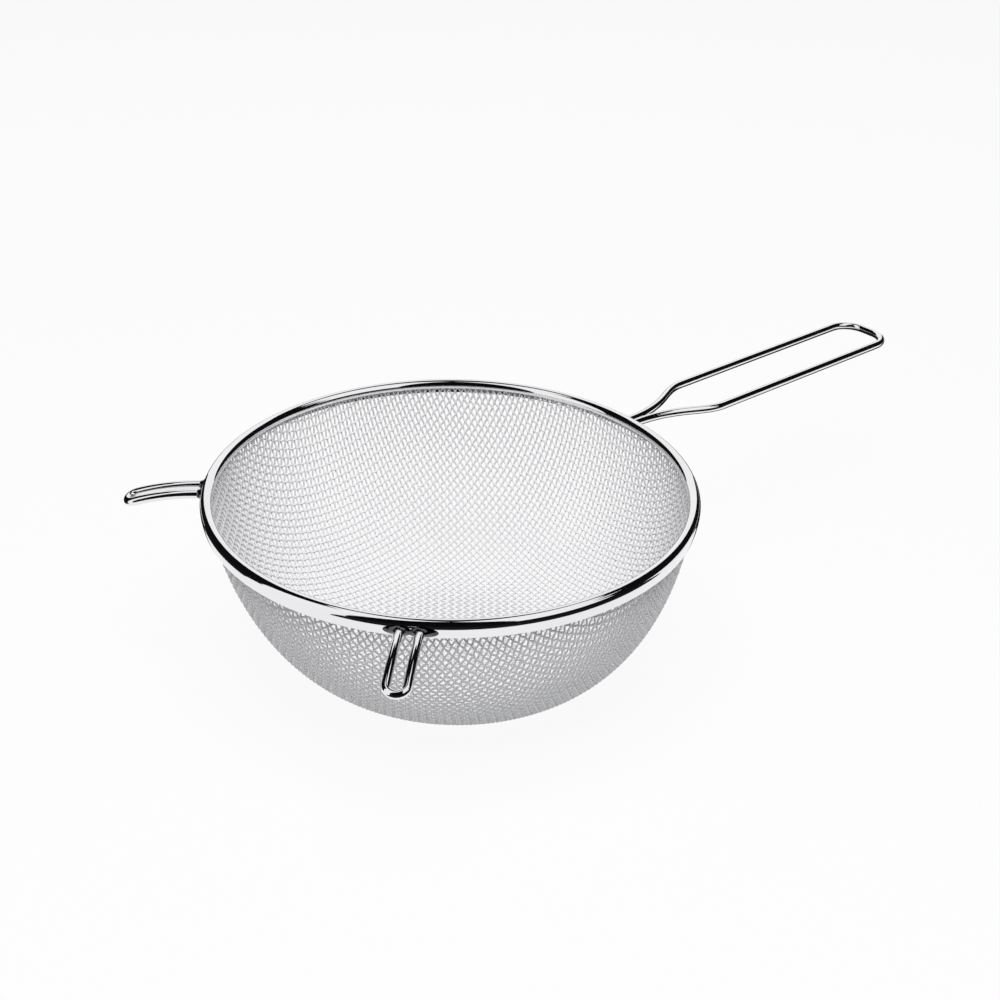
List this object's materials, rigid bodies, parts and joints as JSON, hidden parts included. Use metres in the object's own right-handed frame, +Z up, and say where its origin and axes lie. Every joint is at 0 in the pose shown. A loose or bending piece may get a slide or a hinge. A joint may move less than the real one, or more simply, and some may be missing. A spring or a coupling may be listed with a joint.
{
  "type": "mesh strainer",
  "caption": "Round strainer: a bowl of woven steel wire cloth clamped in a rolled rim, with a long wire loop handle and small drooping wire hooks that rest on a pot's edge.",
  "frame": {"origin": "on the rim's axis, on the flat base that the strainer stands on", "axes": "+Z up through the open top, +X along the handle"},
  "size_m": [0.368, 0.2, 0.0825],
  "materials": {
    "bright_steel": "polished plating",
    "woven_steel": "bright drawn wire",
    "braze": "dark braze, slightly dull"
  },
  "bodies": {
    "root": {"rim_band": "bright_steel", "rim_hoop": "bright_steel", "mesh_bowl": "woven_steel", "handle_loop": "bright_steel", "rest_hook_left": "bright_steel", "rest_hook_right": "bright_steel", "handle_braze": "braze", "hook_left_braze_a": "braze", "hook_left_braze_b": "braze", "hook_right_braze_a": "braze", "hook_right_braze_b": "braze"}
  },
  "joints": []
}
